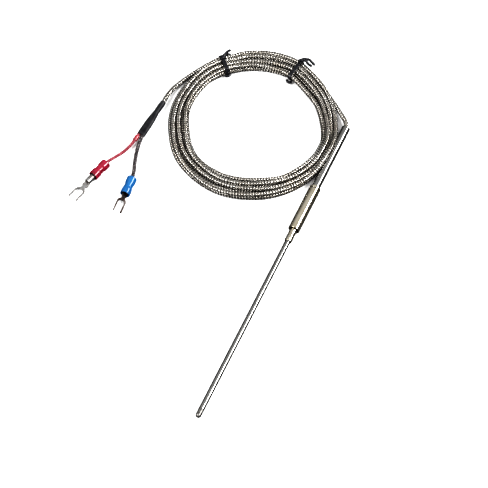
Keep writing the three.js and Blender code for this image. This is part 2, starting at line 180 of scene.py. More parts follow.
# The lead's routes, from inside the rear tube to the coil and from the coil to inside the boot.
LEAD_FROM_PROBE = [
    (0, 89, 3.15),
    (0, 92, 3.15),
    (0.22, 94, 3.15),
    (0.1, 96.1, 3.15),
    (-0.5, 98.4, 3.05),
    (-1.9, 101, 2.85),
    (-4.2, 103.8, 2.55),
    (-8.4, 108, 2.15),
]
LEAD_TO_TERMINALS = [
    (-94.9, 97.7, 2.1),
    (-96.9, 94, 1.75),
    (-99.1, 89, 1.5),
    (-100.5, 84.2, 1.6),
    (-101.1, 80, 1.9),
    (-101.35, 76, 2.25),
    (-101.25, 73.5, 2.45),
    (-101.2, 71.2, 2.45),
    (-101.33, 68.6, 2.45),
    (-101.46, 66, 2.45),
]

# The lead's end: the boot grips the lead and widens over the two cores.
BOOT_ROUTE = [(-101.2, 71.7, 2.45), (-101.6, 65.3, 2.45), (-102.1, 55.9, 2.45), (-102.5, 46, 2.45)]
BOOT_GRIP_R = 1.62
BOOT_MOUTH_HALF_WIDTH = 2.35
BOOT_MOUTH_HALF_DEPTH = 1.36
BOOT_WALL = 0.22
BOOT_NECK_DEPTH = 0.12
BOOT_CREASE_DEPTH = 0.035
BOOT_SIDES = 48
RED_CORE_R = 0.9
BLACK_CORE_R = 1.05
RED_CORE = [
    (-103, 58, 2.45),
    (-103.3, 52, 2.45),
    (-103.6, 46.5, 2.45),
    (-103.87, 43.8, 2.45),
    (-104.1, 41, 2.4),
    (-104.6, 38, 2.15),
    (-106.1, 33, 1.7),
    (-108.75, 27, 2.1),
    (-110.9, 22, 2.7),
    (-111.9, 18, 2.75),
    (-113.04, 13.12, 2.75),
]
BLACK_CORE = [
    (-100.95, 58, 2.45),
    (-101.25, 52, 2.45),
    (-101.55, 46.5, 2.45),
    (-101.1, 42, 2.2),
    (-100.1, 36.5, 1.55),
    (-98, 29.6, 1.25),
    (-95.2, 22.8, 1.95),
    (-93.9, 18.6, 2.6),
    (-93.45, 16, 2.75),
    (-93.25, 14.4, 2.75),
]
RED_COLLAR = [(-103.79, 44.6, 2.44), (-104.07, 41.4, 2.44)]
RED_COLLAR_R = RED_CORE_R + 0.35
RED_COLLAR_BORE_R = RED_CORE_R + 0.08

# Both terminals, measured from a sleeve's or a barrel's rear end.
TERMINAL_AXIS_Z = 2.75
TERMINAL_SLEEVE_LENGTH = 11
TERMINAL_SLEEVE_R = 2.75
TERMINAL_WAIST_R = 2.35
TERMINAL_MOUTH_R = 2.4
TERMINAL_WAIST_HALF = 0.9
TERMINAL_PRESSED_HALF = 2.2
BARREL_LENGTH = 6
BARREL_R = 1.7
BARREL_BORE_R = 0.9
TERMINAL_LENGTH = 18.5
FORK_THICKNESS = 0.8
SHOULDER_AT = BARREL_LENGTH + 1.6
FORK_NECK_HALF = 1.1
FORK_TIP_R = 0.35

# What differs between the two: where the sleeve's rear end is, its heading and roll in degrees, how far in
# front of that the barrel starts, and the fork's width, prong width and shoulder radius.
RED_TERMINAL = {
    "rear": (-111.2, 20.9),
    "heading": 166.7,
    "roll": 0,
    "barrel_at": 9.8,
    "fork": (6, 0.8, 1.8),
}
BLUE_TERMINAL = {
    "rear": (-93.6, 17.6),
    "heading": 185.7,
    "roll": -18,
    "barrel_at": 3.6,
    "fork": (5.2, 1, 1.4),
}

# The studio. The world's levels are brightnesses at heights from the horizon, 0, to straight above, 1.
FLOOR_HALF = 3000
FLOOR_BOTTOM_Z = -4
FLOOR_THICKNESS = 3.98
WORLD_LEVELS = [(0.1, 0.18), (0.8, 1)]
WORLD_STRENGTH = 0.75
STRIP_LENGTH_M = 1.1
STRIP_DISTANCE_M = 0.95


# ---- camera
def make_camera():
    azimuth = math.radians(CAMERA_AZIMUTH)
    elevation = math.radians(CAMERA_ELEVATION)
    back = Vector((
        math.sin(azimuth) * math.cos(elevation),
        -math.cos(azimuth) * math.cos(elevation),
        math.sin(elevation),
    ))
    lens = bpy.data.cameras.new("camera")
    lens.lens = CAMERA_LENS
    lens.sensor_width = CAMERA_SENSOR
    lens.clip_start = CAMERA_NEAR_M
    lens.clip_end = CAMERA_FAR_M
    camera = bpy.data.objects.new("camera", lens)
    camera.location = (Vector(CAMERA_TARGET) + back * CAMERA_DISTANCE) * MM
    camera.rotation_euler = back.to_track_quat("Z", "Y").to_euler()
    bpy.context.scene.collection.objects.link(camera)
    bpy.context.scene.camera = camera


# ---- mesh helpers
BEVEL_ANGLE = 40


def make_mesh(name, points, faces, look, sharp=35, bevel=0.0):
    """A piece from points in millimetres, smooth but for edges that turn more than `sharp` degrees."""
    mesh = bpy.data.meshes.new(name)
    mesh.from_pydata([tuple(float(c) * MM for c in p) for p in points], [], faces)
    mesh.validate()
    mesh.polygons.foreach_set("use_smooth", [True] * len(mesh.polygons))
    mesh.set_sharp_from_angle(angle=math.radians(sharp))
    mesh.materials.append(look)
    piece = bpy.data.objects.new(name, mesh)
    bpy.context.scene.collection.objects.link(piece)
    if bevel:
        rounding = piece.modifiers.new("rounding", "BEVEL")
        rounding.width = bevel * MM
        rounding.segments = 2
        rounding.limit_method = "ANGLE"
        rounding.angle_limit = math.radians(BEVEL_ANGLE)
    return piece


def skin(rings, wrap=False, caps=False):
    """Points and faces of a surface through rings of the same number of points."""
    rings = np.asarray(rings, float)
    count, sides = rings.shape[:2]
    last = count if wrap else count - 1
    faces = []
    for i in range(last):
        here = i * sides
        there = (i + 1) % count * sides
        for j in range(sides):
            k = (j + 1) % sides
            faces.append((here + j, here + k, there + k, there + j))
    if caps:
        faces.append(tuple(reversed(range(sides))))
        faces.append(tuple((count - 1) * sides + j for j in range(sides)))
    return rings.reshape(-1, 3), faces


def merged(*parts):
    """Several (points, faces) pairs as one."""
    points = []
    faces = []
    for more_points, more_faces in parts:
        start = len(points)
        points.extend(more_points)
        faces.extend(tuple(start + i for i in face) for face in more_faces)
    return points, faces


def moved(place, part):
    points, faces = part
    return [place @ Vector(p) for p in points], faces


def spin(degrees, axis="Z"):
    return Matrix.Rotation(math.radians(degrees), 4, axis)


def eased(corners, size, steps=4):
    """A closed flat outline with each corner turned into a short curve."""
    corners = [Vector(c) for c in corners]
    result = []
    for i, corner in enumerate(corners):
        before = corners[i - 1] - corner
        after = corners[(i + 1) % len(corners)] - corner
        reach = min(size, before.length * 0.45, after.length * 0.45)
        start = corner + before.normalized() * reach
        end = corner + after.normalized() * reach
        for step in range(steps + 1):
            t = step / steps
            result.append(tuple(start * (1 - t) ** 2 + corner * 2 * t * (1 - t) + end * t ** 2))
    return result


def turned(profile, sides=64):
    """A ring turned about Y from a closed outline of (radius, station) pairs."""
    turns = [2 * math.pi * j / sides for j in range(sides)]
    rings = []
    for radius, station in profile:
        rings.append([(radius * math.sin(a), station, radius * math.cos(a)) for a in turns])
    return skin(rings, wrap=True)


def pipe(outer, bore, start, end, edge=0.1, sides=64):
    """A tube along Y with eased rims."""
    corners = [(bore, start), (outer, start), (outer, end), (bore, end)]
    return turned(eased(corners, edge), sides)


def curve_through(points, spacing):
    """Evenly spaced points on a smooth curve through the given ones."""
    points = np.asarray(points, float)
    chord = np.linalg.norm(np.diff(points, axis=0), axis=1)
    knots = np.concatenate([[0], np.cumsum(chord)])
    slope = np.gradient(points, knots, axis=0)
    t = np.arange(0, knots[-1], min(0.25, spacing / 2))
    i = np.clip(np.searchsorted(knots, t, side="right") - 1, 0, len(chord) - 1)
    h = chord[i][:, None]
    u = (t[:, None] - knots[i][:, None]) / h
    fine = (
        points[i] * (2 * u ** 3 - 3 * u ** 2 + 1)
        + slope[i] * h * (u ** 3 - 2 * u ** 2 + u)
        + points[i + 1] * (3 * u ** 2 - 2 * u ** 3)
        + slope[i + 1] * h * (u ** 3 - u ** 2)
    )
    fine = np.vstack([fine, points[-1]])
    travelled = np.concatenate([[0], np.cumsum(np.linalg.norm(np.diff(fine, axis=0), axis=1))])
    stations = np.linspace(0, travelled[-1], max(2, round(travelled[-1] / spacing)) + 1)
    return np.stack([np.interp(stations, travelled, fine[:, axis]) for axis in range(3)], axis=1)


def hump(distance, width):
    """1 at no distance, falling to 0 over a few widths."""
    return np.exp(-((distance / width) ** 2))


def frames_along(line):
    """Two directions across the line at each of its points, which turn as little as they can."""
    tangent = np.gradient(line, axis=0)
    tangent /= np.linalg.norm(tangent, axis=1)[:, None]
    across = np.empty_like(line)
    current = np.array([1, 0, 0.01])  # no line here starts this way
    for i, direction in enumerate(tangent):
        current = current - current.dot(direction) * direction
        current = current / np.linalg.norm(current)
        across[i] = current
    return across, np.cross(tangent, across)


def sweep(line, radius, sides):
    """Rings round a line. radius is one number or an array with a row per point and a column per side."""
    across, up = frames_along(line)
    turn = (2 * np.pi * np.arange(sides) / sides)[None, :, None]
    radius = np.broadcast_to(radius, (len(line), sides))[:, :, None]
    out = np.cos(turn) * across[:, None, :] + np.sin(turn) * up[:, None, :]
    return line[:, None, :] + radius * out


def wire(points, radius, sides=12, spacing=0.4):
    """A plain round wire that tapers at its cut ends."""
    line = curve_through(points, spacing)
    size = np.full((len(line), 1), float(radius))
    size[[0, -1]] *= 0.6
    return skin(sweep(line, size, sides), caps=True)


# ---- material helpers
class Look:
    """A material and the few node steps that the looks below are made of."""

    def __init__(self, name, colour, roughness, metallic=0.0):
        self.material = bpy.data.materials.new(name)
        self.material.use_nodes = True
        self.tree = self.material.node_tree
        self.shader = self.tree.nodes["Principled BSDF"]
        self.shader.inputs["Base Color"].default_value = (*colour, 1)
        self.shader.inputs["Roughness"].default_value = roughness
        self.shader.inputs["Metallic"].default_value = metallic
        self.place = self.node("ShaderNodeTexCoord").outputs["Object"]

    def node(self, kind):
        return self.tree.nodes.new(kind)

    def join(self, source, target):
        if hasattr(source, "links"):
            self.tree.links.new(source, target)
        else:
            target.default_value = source

    def maths(self, operation, a, b=0.0):
        step = self.node("ShaderNodeMath")
        step.operation = operation
        self.join(a, step.inputs[0])
        self.join(b, step.inputs[1])
        return step.outputs[0]

    def noise(self, scale, detail, stretch=(1, 1, 1)):
        """Noise whose scale is in cycles for each metre."""
        mapping = self.node("ShaderNodeMapping")
        mapping.inputs["Scale"].default_value = stretch
        self.join(self.place, mapping.inputs["Vector"])
        texture = self.node("ShaderNodeTexNoise")
        texture.inputs["Scale"].default_value = scale
        texture.inputs["Detail"].default_value = detail
        self.join(mapping.outputs[0], texture.inputs["Vector"])
        return texture.outputs["Fac"]

    def ramp(self, value, stops):
        """Colours at places from 0 to 1."""
        ramp = self.node("ShaderNodeValToRGB")
        elements = ramp.color_ramp.elements
        while len(elements) < len(stops):
            elements.new(0.5)
        for element, (at, colour) in zip(elements, stops):
            element.position = at
            element.color = (*colour, 1)
        self.join(value, ramp.inputs["Fac"])
        return ramp.outputs["Color"]

    def spread(self, value, low, high):
        """A value from 0 to 1 as one from low to high."""
        step = self.node("ShaderNodeMapRange")
        step.inputs["To Min"].default_value = low
        step.inputs["To Max"].default_value = high
        self.join(value, step.inputs["Value"])
        return step.outputs["Result"]

    def mixed(self, blend, a, b, amount=1.0):
        """Two colours mixed. The node has more sockets called A and B, so its colour ones go by number."""
        step = self.node("ShaderNodeMix")
        step.data_type = "RGBA"
        step.blend_type = blend
        self.join(amount, step.inputs["Factor"])
        self.join(a, step.inputs[6])
        self.join(b, step.inputs[7])
        return step.outputs[2]

    def colour(self, value):
        self.join(value, self.shader.inputs["Base Color"])

    def roughness(self, value):
        self.join(value, self.shader.inputs["Roughness"])

    def bump(self, height, distance, strength=1.0):
        """Relief from a height of 0 to 1 that stands for `distance` millimetres."""
        step = self.node("ShaderNodeBump")
        step.inputs["Distance"].default_value = distance * MM
        step.inputs["Strength"].default_value = strength
        self.join(height, step.inputs["Height"])
        self.join(step.outputs[0], self.shader.inputs["Normal"])

    def scaled(self, value, factor, start):
        """value * factor + start"""
        return self.maths("ADD", self.maths("MULTIPLY", value, factor), start)

    def wave(self, value, halves):
        """The sine of a value from 0 to 1 that stands for a number of half turns."""
        return self.maths("SINE", self.maths("MULTIPLY", value, math.pi * halves))

    def weave(self, wires):
        """A two-way braid whose strands hold some wires each. The weave UV counts strands.

        Gives its height, from 0 in the gaps to 1 on the strands, and the way the upper strand runs, 0 or 1.
        """
        source = self.node("ShaderNodeUVMap")
        source.uv_map = "weave"
        split = self.node("ShaderNodeSeparateXYZ")
        self.join(source.outputs[0], split.inputs[0])
        along, around = split.outputs[0], split.outputs[1]
        strands = []
        for kind in ("ADD", "SUBTRACT"):
            count = self.maths(kind, around, along)
            inside = self.maths("FRACT", count)
            crown = self.wave(inside, 1)
            ridges = self.maths("ABSOLUTE", self.wave(inside, wires))
            strands.append((self.maths("FLOOR", count), crown, ridges))
        (first, crown_a, ridges_a), (second, crown_b, ridges_b) = strands
        # The sum is made positive, so that its remainder is 0 or 1.
        crossing = self.maths("ADD", self.maths("ADD", first, second), 1000)
        parity = self.maths("MODULO", crossing, 2)
        tops = []
        for crown, ridges, across in ((crown_a, ridges_a, crown_b), (crown_b, ridges_b, crown_a)):
            rounded = self.maths("POWER", crown, 0.45)
            pillow = self.maths("MULTIPLY", rounded, self.scaled(across, 0.45, 0.55))
            tops.append(self.maths("MULTIPLY", pillow, self.scaled(ridges, 0.35, 0.65)))
        over = self.maths("MULTIPLY", tops[0], parity)
        under = self.maths("MULTIPLY", tops[1], self.maths("SUBTRACT", 1, parity))
        return self.maths("ADD", over, under), parity


# ---- materials
def drawn_steel():
    """Polished drawn tube: fine streaks along it and faint cloudiness."""
    tint = (0.28, 0.276, 0.267)
    look = Look("polished_steel", tint, 0.18, 1)
    streaks = look.noise(2600, 2, (1, 0.03, 1))
    clouds = look.noise(160, 3)
    look.roughness(look.spread(look.mixed("MIX", streaks, clouds, 0.5), 0.1, 0.24))
    dull = tuple(c * 0.86 for c in tint)
    look.colour(look.ramp(clouds, [(0.3, dull), (0.65, tint)]))
    look.bump(streaks, 0.004, 0.5)
    return look.material


def turned_nickel():
    """Nickel plate over turned metal: faint rings round it and a warm tint that varies."""
    tint = (0.5, 0.475, 0.415)
    look = Look("nickel_plate", tint, 0.2, 1)
    rings = look.noise(3000, 2, (0.02, 1, 0.02))
    clouds = look.noise(220, 4)
    look.roughness(look.spread(look.mixed("MIX", rings, clouds, 0.6), 0.06, 0.2))
    warm = (tint[0] * 0.86, tint[1] * 0.82, tint[2] * 0.74)
    look.colour(look.ramp(clouds, [(0.3, warm), (0.7, tint)]))
    look.bump(rings, 0.005, 0.5)
    return look.material


def steel_braid():
    """Fine stainless wires, with a painted highlight on the crowns, painted shade where they dip and painted
    shade on the strands that run one way.
    """
    look = Look("steel_braid", (0.5, 0.48, 0.45), 0.32, 1)
    height, family = look.weave(3)
    clouds = look.noise(90, 3)
    # Painted light: the strands that run one way are painted bright and the others five times darker, as
    # painted shade, for how much more of the light the first catch.
    painted_family_light = look.ramp(family, [(0, (0.2, 0.194, 0.186)), (1, (1, 1, 1))])
    # Painted light: the crowns are painted near white as a highlight, and the gaps between strands near black
    # as shade.
    bright = (0.95, 0.93, 0.89)
    wires = look.ramp(height, [(0.32, (0.002, 0.002, 0.002)), (0.5, (0.24, 0.232, 0.22)), (0.7, bright)])
    shade = look.ramp(clouds, [(0.3, (0.82, 0.79, 0.75)), (0.7, (1, 1, 1))])
    look.colour(look.mixed("MULTIPLY", look.mixed("MULTIPLY", wires, painted_family_light), shade))
    look.roughness(look.spread(height, 0.45, 0.16))
    look.bump(height, 0.22)
    return look.material


def glass_braid(name, dark, light, fleck):
    """A core's glass braid: soft matt yarns with lighter flecks, and painted shade in the gaps between the
    yarns.
    """
    look = Look(name, light, 0.75)
    look.shader.inputs["Specular IOR Level"].default_value = 0.2
    height, _ = look.weave(2)
    flecks = look.noise(1400, 2)
    # Painted shade: the yarn colour falls to the dark colour in the gaps between yarns.
    yarns = look.ramp(height, [(0.1, dark), (0.8, light)])
    spots = look.ramp(flecks, [(0.56, (0, 0, 0)), (0.72, (1, 1, 1))])
    look.colour(look.mixed("MIX", yarns, (*fleck, 1), spots))
    look.roughness(look.spread(height, 0.9, 0.6))
    look.bump(height, 0.09)
    return look.material


def heat_shrink():
    """Black shrunk tube: satin, with a fine orange-peel and a little dust."""
    look = Look("black_shrink", (0.012, 0.012, 0.014), 0.42)
    look.shader.inputs["Specular IOR Level"].default_value = 0.22
    peel = look.noise(900, 3)
    dust = look.noise(260, 5)
    look.roughness(look.spread(peel, 0.32, 0.55))
    look.colour(look.ramp(dust, [(0.4, (0.009, 0.009, 0.011)), (0.75, (0.03, 0.03, 0.032))]))
    look.bump(peel, 0.03, 0.6)
    return look.material


def terminal_plastic(name, deep, bright):
    """Glossy vinyl sleeve with slight waves and a variation in its depth of colour."""
    look = Look(name, bright, 0.2)
    waves = look.noise(300, 3)
    fine = look.noise(1800, 2)
    look.shader.inputs["Specular IOR Level"].default_value = 0.6
    look.shader.inputs["Subsurface Weight"].default_value = 0.08
    look.shader.inputs["Subsurface Scale"].default_value = 0.6 * MM
    look.colour(look.ramp(waves, [(0.3, deep), (0.7, bright)]))
    look.roughness(look.spread(fine, 0.14, 0.3))
    look.bump(waves, 0.05, 0.5)
    return look.material


def tinned_copper(name, stained, middle, clean):
    """Tin over copper: soft grey with pressing marks, darker stains and a warm tint here and there."""
    look = Look(name, clean, 0.3, 1)
    stains = look.noise(420, 4)
    marks = look.noise(2200, 2, (1, 0.15, 1))
    look.colour(look.ramp(stains, [(0.28, stained), (0.5, middle), (0.7, clean)]))
    look.roughness(look.spread(marks, 0.3, 0.5))
    look.bump(marks, 0.012, 0.6)
    return look.material


def tie_plastic():
    """Black coated wire, slightly crinkled."""
    look = Look("tie_plastic", (0.01, 0.01, 0.012), 0.28)
    look.shader.inputs["Specular IOR Level"].default_value = 0.3
    crinkle = look.noise(1100, 3)
    look.roughness(look.spread(crinkle, 0.18, 0.42))
    look.colour(look.ramp(crinkle, [(0.35, (0.006, 0.006, 0.008)), (0.75, (0.028, 0.028, 0.032))]))
    look.bump(crinkle, 0.05, 0.7)
    return look.material


def hidden_metal(name, dark, light):
    """Wires, crimps and bushes inside the probe: dull metal with tarnish."""
    look = Look(name, light, 0.4, 1)
    tarnish = look.noise(900, 3)
    look.colour(look.ramp(tarnish, [(0.35, dark), (0.7, light)]))
    look.roughness(look.spread(tarnish, 0.3, 0.55))
    look.bump(tarnish, 0.01, 0.5)
    return look.material


def granular(name, dark, light):
    """Packed oxide powder or cast resin: matt, with fine grain."""
    look = Look(name, light, 0.85)
    grain = look.noise(2500, 4)
    look.colour(look.ramp(grain, [(0.3, dark), (0.7, light)]))
    look.roughness(look.spread(grain, 0.7, 0.95))
    look.bump(grain, 0.03, 0.7)
    return look.material


def pale_floor():
    """The plain surface it lies on."""
    look = Look("pale_surface", (0.9, 0.9, 0.9), 0.7)
    look.colour(look.ramp(look.noise(6, 2), [(0.3, (0.89, 0.89, 0.89)), (0.7, (0.91, 0.91, 0.91))]))
    return look.material


# ---- how the coil's turns settle
def ring_limits(angle):
    """Inner and outer radius of the coil at an angle, eased between the bearings at which they are set."""
    bearings, inner, outer = np.transpose(COIL_EDGES)
    bearings = np.append(bearings, 360)
    part = np.degrees(angle) % 360
    before = np.searchsorted(bearings, part, side="right") - 1
    share = (part - bearings[before]) / (bearings[before + 1] - bearings[before])
    share = (1 - np.cos(np.pi * share)) / 2
    limits = []
    for edge in (inner, outer):
        edge = np.append(edge, edge[0])
        limits.append(edge[before] + (edge[before + 1] - edge[before]) * share)
    return limits


def near_tie(angle):
    """1 at a tie, falling to 0 beside it."""
    closeness = np.zeros_like(angle)
    for tie in TIE_ANGLES:
        away = (np.degrees(angle) - tie + 180) % 360 - 180
        closeness = np.maximum(closeness, hump(away, TIE_REACH))
    return closeness


def settled_coil():
    """The coil's centre line: turns wound inwards on the surface and then outwards on top of those, which
    sink under their weight, push each other apart and stay between the coil's limits."""
    total = COIL_FULL_TURNS * 360 + COIL_EXIT - COIL_ENTRY
    degrees = COIL_ENTRY + np.arange(0, total + COIL_STEP, COIL_STEP)
    angle = np.radians(degrees)
    turns = (degrees - COIL_ENTRY) / 360
    progress = turns / turns[-1]
    inner, outer = ring_limits(angle)
    inner = inner + LEAD_R
    outer = outer - LEAD_R
    floor = BRAID_MID_R + BRAID_RELIEF + (TIE_THICKNESS + TIE_GAP) * near_tie(angle)
    inward = 1 - np.abs(1 - 2 * progress)
    # A slow and a quicker waver, so that no two turns lie alike.
    wander = 0.55 * np.sin(angle * 0.83 + 0.4) + 0.45 * np.sin(angle * 2.31 + turns * 1.7)
    target = outer - inward * (outer - inner) + wander
    radius = np.clip(target, inner, outer)
    upper_layer = np.clip((progress - LAYER_FROM) / LAYER_CLIMB, 0, 1)
    height = floor + LAYER_STEP * upper_layer + 0.3 * (np.sin(turns * 5) + 1)
    # The last stretch leaves the ring's top and comes down outside it.
    leaving = degrees - COIL_FULL_TURNS * 360 - COIL_LEAVES
    free = leaving > 0
    apart = np.clip(leaving / (COIL_EXIT - COIL_LEAVES), 0, 1)
    radius = np.where(free, FREE_R + FREE_GROWTH * apart + FREE_SWING * apart ** 3, radius)
    target = np.where(free, radius, target)
    outer = np.where(free, FREE_LIMIT_R, outer)
    hold = np.where(free, HOLD_FREE, HOLD_WOUND)
    entering = degrees < COIL_ENTRY + COIL_ENTRY_HELD
    target = np.where(entering, outer, target)
    hold = np.where(entering, HOLD_ENTRY, hold)
    for step in range(SETTLE_STEPS):
        slow = step > SETTLE_STEPS * SETTLE_SLOW_FROM
        height = height - (SINK_SLOW if slow else SINK)
        stiffness = STIFFNESS_SLOW if slow else STIFFNESS
        for values in (radius, height):
            values[1:-1] += stiffness * 0.5 * (values[:-2] + values[2:] - 2 * values[1:-1])
        radius = radius + hold * (target - radius)
        push_apart(radius, height)
        radius = np.clip(radius, inner, outer)
        height = np.maximum(height, floor)
        radius, height = clear_of_probe(angle, radius, height)
    x = COIL_CENTRE[0] + radius * np.cos(angle)
    y = COIL_CENTRE[1] + radius * np.sin(angle)
    return np.stack([x, y, height], axis=1)


def push_apart(radius, height):
    """Moves each pair of touching turns off each other, in place."""
    per_turn = 360 // COIL_STEP
    for turn in range(1, COIL_FULL_TURNS + 1):
        gap = turn * per_turn
        sideways = radius[gap:] - radius[:-gap]
        upwards = height[gap:] - height[:-gap]
        distance = np.maximum(np.hypot(sideways, upwards), NOTHING)
        push = np.maximum(TURN_SPACING - distance, 0) / 2 / distance
        radius[gap:] += push * sideways
        radius[:-gap] -= push * sideways
        height[gap:] += push * upwards
        height[:-gap] -= push * upwards


def clear_of_probe(angle, radius, height):
    """Keeps the turns off the rear tube, which lies beside them."""
    keep = REAR_TUBE_R + LEAD_R + PROBE_GAP
    x = COIL_CENTRE[0] + radius * np.cos(angle)
    y = COIL_CENTRE[1] + radius * np.sin(angle)
    up = height - PROBE_AXIS_Z
    distance = np.maximum(np.hypot(x, up), NOTHING)
    beside = (y < PROBE_LENGTH / 2 + PROBE_GUARD) & (distance < keep)
    back = np.where(beside, (keep - distance) / distance, 0)
    radius = radius + back * x * np.cos(angle)
    height = height + back * up
    return radius, height


# ---- cords
def braided_tube(name, line, radius, sides, sides_per_strand, rows_per_pitch, relief, look):
    """A braid round a line: its surface rises at each crossing and dips between them."""
    sides_turn = np.arange(sides) * 2 * np.pi / sides_per_strand
    rows_turn = np.arange(len(line)) * 2 * np.pi / rows_per_pitch
    rise = 0.5 * (np.cos(sides_turn)[None, :] + np.cos(rows_turn)[:, None])
    rings = sweep(line, radius + relief * rise, sides)
    points, faces = skin(rings, caps=True)
    piece = make_mesh(name, points, faces, look, sharp=80)
    weave = piece.data.uv_layers.new(name="weave")
    row, column = np.divmod(np.arange((len(line) - 1) * sides), sides)
    along = np.stack([row, row, row + 1, row + 1], axis=1) / rows_per_pitch
    around = np.stack([column, column + 1, column + 1, column], axis=1) / sides_per_strand
    uv = np.zeros((len(piece.data.loops), 2), np.float32)
    uv[: along.size] = np.stack([along.ravel(), around.ravel()], axis=1)
    weave.data.foreach_set("uv", uv.ravel())
    return piece


def dress(piece, slot, *nodes):
    """Rides on the part's one body and stands for its CAD nodes."""
    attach(piece, "root")
    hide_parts(*nodes)


def make_lead():
    """The lead as one cord from inside the rear tube, round the coil, to inside the boot."""
    route = np.vstack([LEAD_FROM_PROBE, settled_coil(), LEAD_TO_TERMINALS])
    smooth = route.copy()
    joins = [len(LEAD_FROM_PROBE), len(route) - len(LEAD_TO_TERMINALS)]
    # The listed ends are blended into the coil where they join it.
    for _ in range(3):
        for join in joins:
            near = slice(join - 2, join + 3)
            wide = smooth[join - 3: join + 4]
            smooth[near] = (wide[:-2] + 2 * wide[1:-1] + wide[2:]) / 4
    line = curve_through(smooth, BRAID_PITCH / BRAID_ROWS)
    lead = braided_tube("lead", line, BRAID_MID_R, BRAID_SIDES, BRAID_SIDES_PER_STRAND, BRAID_ROWS,
                        BRAID_RELIEF, steel_braid())
    dress(lead, "steel_braid", "lead_probe_end", "lead_coil", "lead_terminal_end")
    return lead, line


def make_core(colour, route, radius, look):
    line = curve_through(route, CORE_SPACING)
    core = braided_tube(f"{colour}_lead_core", line, radius - CORE_SUNK, CORE_SIDES, CORE_MESH_PER_STRAND,
                        CORE_MESH_PER_STRAND, CORE_RELIEF, look)
    dress(core, f"{colour}_braid", f"{colour}_core")
    return core, line


# ---- probe pieces
PROBE_PLACE = Matrix.Translation((0, -PROBE_LENGTH / 2, PROBE_AXIS_Z))


def probe_piece(name, part, look, node, slot):
    dress(make_mesh(name, *moved(PROBE_PLACE, part), look), slot, node)


def tip_cap():
    """A round welded nose, with the weld's low bead where it meets the sheath."""
    nose = []
    steps = 12
    for step in range(steps + 1):
        angle = math.pi / 2 * step / steps
        nose.append((max(SHEATH_R * math.sin(angle), POINT_R), SHEATH_R * (1 - math.cos(angle))))
    bead = [
        (SHEATH_R, CAP_LENGTH - 0.7),
        (SHEATH_R + CAP_BEAD, CAP_LENGTH - 0.45),
        (SHEATH_R + CAP_BEAD, CAP_LENGTH - 0.25),
        (SHEATH_R - 0.05, CAP_LENGTH),
    ]
    inside = [(SHEATH_BORE_R, CAP_LENGTH), (SHEATH_BORE_R, CAP_WALL), (POINT_R, CAP_WALL)]
    return turned(nose + bead + inside)


def crimp_neck():
    """The reduced front of the fitting: a rounded shoulder, then three shallow crimp grooves."""
    bore = SHEATH_R + CLEARANCE
    outline = [(bore, NECK_START), (NECK_R - 0.12, NECK_START), (NECK_R, NECK_START + 0.5)]
    for groove in CRIMP_GROOVES:
        centre = NECK_START + groove
        outline += [
            (NECK_R, centre - CRIMP_HALF_WIDTH),
            (NECK_R - CRIMP_DEPTH, centre),
            (NECK_R, centre + CRIMP_HALF_WIDTH),
        ]
    outline += [(NECK_R, NECK_END), (bore, NECK_END)]
    return turned(eased(outline, 0.15))


def rear_collar():
    """The rolled rim behind the sleeve."""
    bore = REAR_TUBE_R + CLEARANCE
    corners = [(bore, COLLAR_START), (SLEEVE_R, COLLAR_START), (SLEEVE_R, COLLAR_END), (bore, COLLAR_END)]
    return turned(eased(corners, 0.2, steps=6))


def make_probe():
    steel = drawn_steel()
    nickel = turned_nickel()
    copper = hidden_metal("bush_copper", (0.02, 0.015, 0.01), (0.12, 0.07, 0.04))
    weld = hidden_metal("welded_steel", (0.1, 0.095, 0.09), (0.24, 0.235, 0.225))
    sheath = pipe(SHEATH_R, SHEATH_BORE_R, SHEATH_START, SHEATH_END, 0.05)
    bush = pipe(SLEEVE_BORE_R - CLEARANCE, NECK_R + CLEARANCE, SLEEVE_START + 0.5, NECK_END)
    sleeve = pipe(SLEEVE_R, SLEEVE_BORE_R, SLEEVE_START, SLEEVE_END, 0.22)
    tube = pipe(REAR_TUBE_R, REAR_TUBE_BORE_R, REAR_TUBE_START, PROBE_LENGTH, 0.14)
    probe_piece("nose_cap", tip_cap(), weld, "tip_cap", "stainless_steel")
    probe_piece("sheath", sheath, steel, "sheath_tube", "stainless_steel")
    probe_piece("neck", crimp_neck(), nickel, "crimp_neck", "nickel_plate")
    probe_piece("bush_front", bush, copper, "front_bush", "copper")
    probe_piece("sleeve", sleeve, nickel, "transition_sleeve", "nickel_plate")
    probe_piece("rim", rear_collar(), nickel, "rear_collar", "nickel_plate")
    probe_piece("tube", tube, steel, "rear_tube", "stainless_steel")


# ---- ties
def hull(points):
    """Convex hull of flat points, counter-clockwise."""
    points = sorted(set((round(float(a), 6), round(float(b), 6)) for a, b in points))

    def chain(sequence):
        kept = []
        for p in sequence:
            while len(kept) > 1:
                (ax, ay), (bx, by) = kept[-2], kept[-1]
                if (bx - ax) * (p[1] - ay) - (by - ay) * (p[0] - ax) > 0:
                    break
                kept.pop()
            kept.append(p)
        return kept[:-1]

    return chain(points) + chain(reversed(points))


def bundle_outline(line, degrees, grow):
    """Outline, in the plane across the coil at one angle, round every turn that passes there."""
    angle = math.radians(degrees)
    out = np.array([math.cos(angle), math.sin(angle)])
    offset = line[:, :2] - np.array(COIL_CENTRE)
    forwards = offset @ out
    sideways = offset @ np.array([-out[1], out[0]])
    crossing = np.nonzero((sideways[:-1] <= 0) & (sideways[1:] > 0) & (forwards[:-1] > 0))[0]
    radius = LEAD_R + grow
    edge = []
    for i in crossing:
        for step in range(24):
            a = 2 * math.pi * step / 24
            edge.append((forwards[i] + radius * math.cos(a), line[i, 2] + radius * math.sin(a)))
    return hull(edge)


